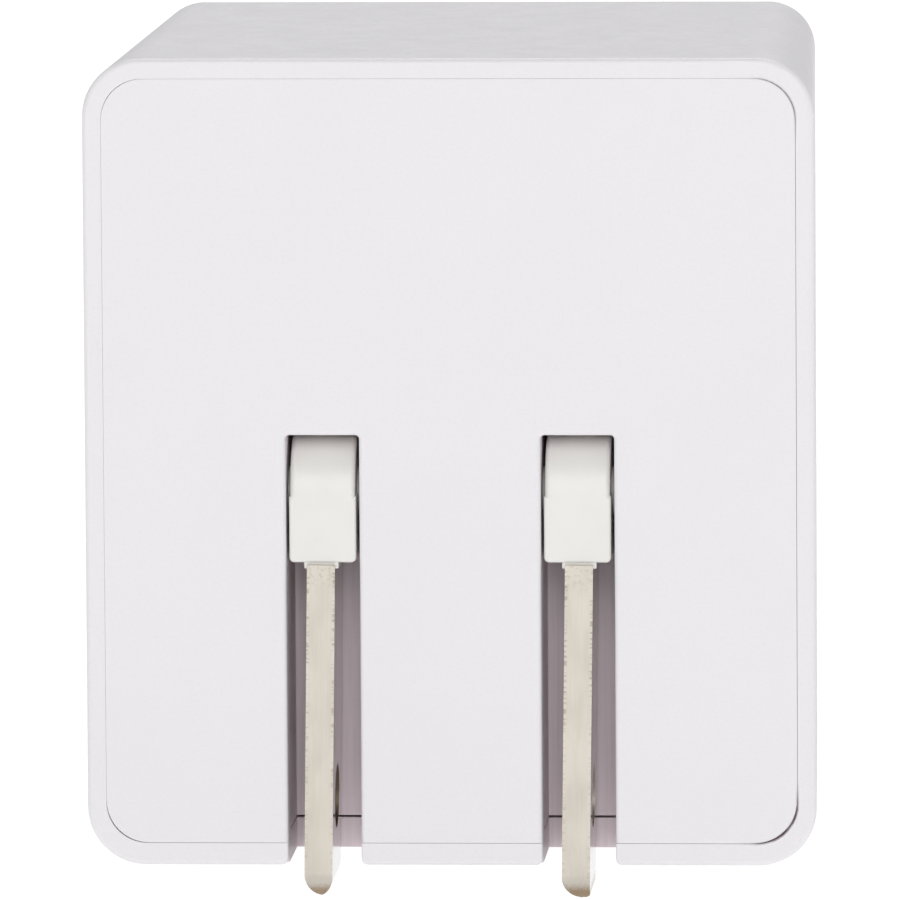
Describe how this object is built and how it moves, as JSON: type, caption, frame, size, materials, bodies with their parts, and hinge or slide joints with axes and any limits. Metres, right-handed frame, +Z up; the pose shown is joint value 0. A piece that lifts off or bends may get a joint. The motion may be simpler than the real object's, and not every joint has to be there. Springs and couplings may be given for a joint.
{
  "type": "usb wall charger",
  "caption": "Compact white mains charger with fold-away flat blades on the plug face and stacked USB-A sockets on the opposite face.",
  "frame": {"origin": "centre of the plug face, the flat face that lies against the wall outlet", "axes": "+Z up, -Y out of the plug face towards the wall, +Y out of the USB face, +X to the right of the plug face as it is looked at"},
  "size_m": [0.0364, 0.036, 0.0422],
  "materials": {
    "casing_plastic": "fine satin moulded polycarbonate",
    "plate_plastic": "fine satin moulded polycarbonate",
    "hub_plastic": "smooth moulded nylon",
    "blade_nickel": "nickel plate over stamped brass",
    "cradle_plastic": "glass-filled, satin",
    "screw_steel": "zinc plated",
    "spring_bronze": "rolled",
    "spring_steel": "rolled",
    "lead_jacket": "smooth insulation",
    "barrier_film": "thin film",
    "board_laminate": "solder resist",
    "resistor_coat": "lacquer",
    "choke_coat": "lacquer",
    "chip_resin": "moulded epoxy",
    "disc_coat": "dipped coating",
    "ferrite": "ground ferrite",
    "bobbin_resin": "moulded phenolic",
    "copper_wire": "enamelled wire",
    "winding_tape": "polyester tape",
    "tinned_pin": "tinned",
    "capacitor_sleeve": "shrunk sleeve",
    "capacitor_can": "drawn can",
    "socket_steel": "nickel plated sheet",
    "tongue_plastic": "moulded",
    "contact_gold": "gold flash"
  },
  "bodies": {
    "casing": {"back_plate": "plate_plastic", "bridge_rectifier": "chip_resin", "bulk_capacitor_1": "capacitor_sleeve", "bulk_capacitor_2": "capacitor_sleeve", "contact_spring_left": "spring_bronze", "contact_spring_right": "spring_bronze", "controller_chip": "chip_resin", "cradle_screws": "screw_steel", "detent_spring": "spring_steel", "fuse_resistor": "resistor_coat", "housing_shell": "casing_plastic", "input_choke": "choke_coat", "insulation_sheet": "barrier_film", "lead_left": "lead_jacket", "lead_right": "lead_jacket", "main_board": "board_laminate", "optocoupler": "chip_resin", "output_capacitor_1": "capacitor_can", "output_capacitor_2": "capacitor_can", "output_rectifier": "chip_resin", "prong_cradle": "cradle_plastic", "transformer_bobbin": "bobbin_resin", "transformer_core": "ferrite", "transformer_pins": "tinned_pin", "transformer_tape": "winding_tape", "transformer_winding": "copper_wire", "usb_board": "board_laminate", "usb_contacts_lower": "contact_gold", "usb_contacts_upper": "contact_gold", "usb_control_chip": "chip_resin", "usb_shell_lower": "socket_steel", "usb_shell_upper": "socket_steel", "usb_tongue_lower": "tongue_plastic", "usb_tongue_upper": "tongue_plastic", "y_capacitor": "disc_coat"},
    "prongs": {"prong_hub": "hub_plastic", "blade_left": "blade_nickel", "blade_right": "blade_nickel"}
  },
  "joints": [
    {"name": "prong_fold", "type": "hinge", "parent": "casing", "child": "prongs", "pos_m": [0, 0.0033, -0.00171], "axis": [-1, 0, 0], "range_deg": [0, 90]}
  ]
}
